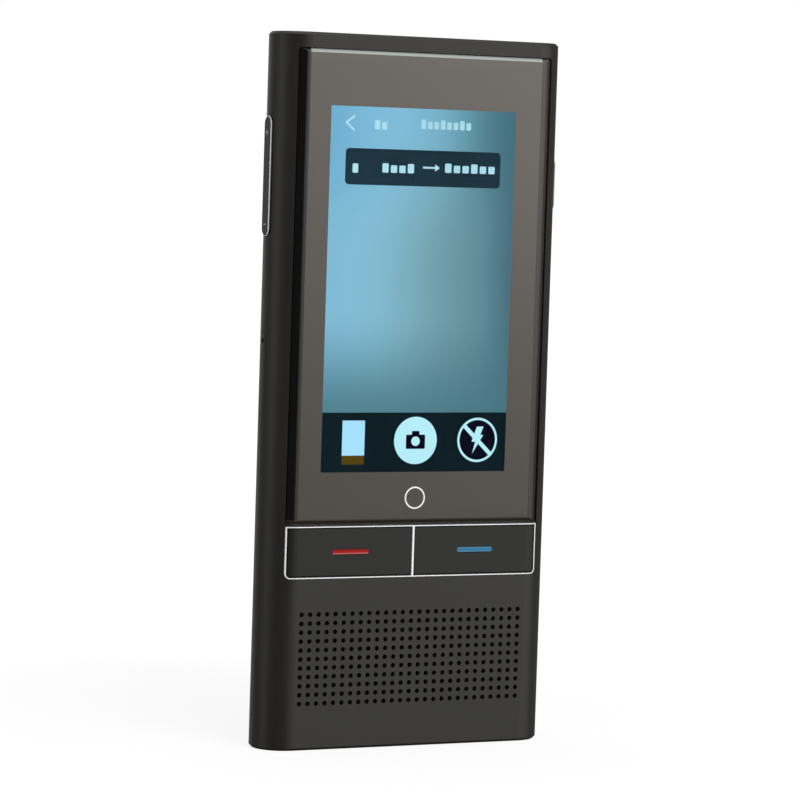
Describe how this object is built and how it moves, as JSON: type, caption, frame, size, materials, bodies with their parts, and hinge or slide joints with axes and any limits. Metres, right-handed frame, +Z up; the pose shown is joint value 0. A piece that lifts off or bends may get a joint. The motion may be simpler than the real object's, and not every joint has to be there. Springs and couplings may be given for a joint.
{
  "type": "handheld translator",
  "caption": "Slim handheld translator with a touch display behind glass, talk keys with light bars, a rocking volume key, a power key, a card tray and a speaker grille.",
  "frame": {"origin": "middle of the flat lower end", "axes": "+X to the right of a person facing the display, +Y from the display to the back, +Z up along the body to the upper end"},
  "size_m": [0.0602, 0.0116, 0.1342],
  "materials": {
    "housing": "fine satin dark grey",
    "seal_rubber": "matte black",
    "front_glass": "polished, grey ink on the back outside the display",
    "black_tape": "matte black adhesive",
    "white_liner": "matte adhesive",
    "touch_glass": "polished",
    "white_print": "white print",
    "display": "glossy panel",
    "light_guide": "milky",
    "steel": "satin",
    "frame_alloy": "cast, satin",
    "bright_trim": "polished",
    "keys": "fine satin dark grey",
    "red_light": "translucent red",
    "blue_light": "translucent blue",
    "board": "solder mask",
    "ribbon": "amber film",
    "black_plastic": "moulded",
    "cone": "pressed film",
    "mesh": "fine woven mesh",
    "battery_foil": "foil pouch",
    "contact_gold": "gold plated",
    "lens_glass": "polished",
    "flash_emitter": "phosphor",
    "flash_cover": "clear diffuser"
  },
  "bodies": {
    "device": {"front_housing": "housing", "rear_cover": "housing", "cover_seal": "seal_rubber", "cover_glass": "front_glass", "glass_tape": "black_tape", "touch_sensor": "touch_glass", "home_ring": "white_print", "lcd_panel": "display", "backlight": "light_guide", "display_tray": "steel", "display_flex": "ribbon", "middle_frame": "frame_alloy", "key_frame": "bright_trim", "key_board": "board", "left_talk_switch": "steel", "right_talk_switch": "steel", "volume_up_switch": "steel", "volume_down_switch": "steel", "volume_flex": "ribbon", "power_switch": "steel", "power_flex": "ribbon", "sim_socket": "steel", "main_board": "board", "processor_shield": "steel", "radio_shield": "steel", "board_connectors": "black_plastic", "battery": "battery_foil", "battery_tape": "white_liner", "speaker_frame": "black_plastic", "speaker_cone": "cone", "speaker_chamber": "black_plastic", "speaker_gasket": "seal_rubber", "speaker_mesh": "mesh", "port_board": "board", "usb_c_shell": "steel", "usb_c_tongue": "black_plastic", "lower_microphone": "contact_gold", "upper_microphone": "contact_gold", "vibration_motor": "steel", "camera_module": "black_plastic", "camera_ring": "bright_trim", "camera_window": "lens_glass", "flash_light": "flash_emitter", "flash_window": "flash_cover", "link_flex": "ribbon", "upper_antenna": "ribbon", "lower_antenna": "ribbon", "frame_screws": "steel", "board_screws": "steel"},
    "left_talk": {"left_talk_key": "keys", "red_light_bar": "red_light"},
    "right_talk": {"right_talk_key": "keys", "blue_light_bar": "blue_light"},
    "volume_rocker": {"volume_key": "keys", "volume_key_rim": "bright_trim"},
    "power_button": {"power_key": "keys", "power_key_rim": "bright_trim"},
    "card_tray": {"sim_tray": "housing", "sim_card": "contact_gold"}
  },
  "joints": [
    {"name": "left_talk_press", "type": "slide", "parent": "device", "child": "left_talk", "axis": [0, 1, 0], "range_m": [0, 0.0003], "stiffness_N_per_m": 600, "springref_m": -0.0005},
    {"name": "right_talk_press", "type": "slide", "parent": "device", "child": "right_talk", "axis": [0, 1, 0], "range_m": [0, 0.0003], "stiffness_N_per_m": 600, "springref_m": -0.0005},
    {"name": "volume_rock", "type": "hinge", "parent": "device", "child": "volume_rocker", "pos_m": [-0.02845, 0, 0.1073], "axis": [0, 1, 0], "range_deg": [-1, 1], "stiffness_Nm_per_rad": 0.3},
    {"name": "power_press", "type": "slide", "parent": "device", "child": "power_button", "axis": [-1, 0, 0], "range_m": [0, 0.00025], "stiffness_N_per_m": 800, "springref_m": -0.0005},
    {"name": "card_tray_slide", "type": "slide", "parent": "device", "child": "card_tray", "axis": [-1, 0, 0], "range_m": [0, 0.014]}
  ]
}
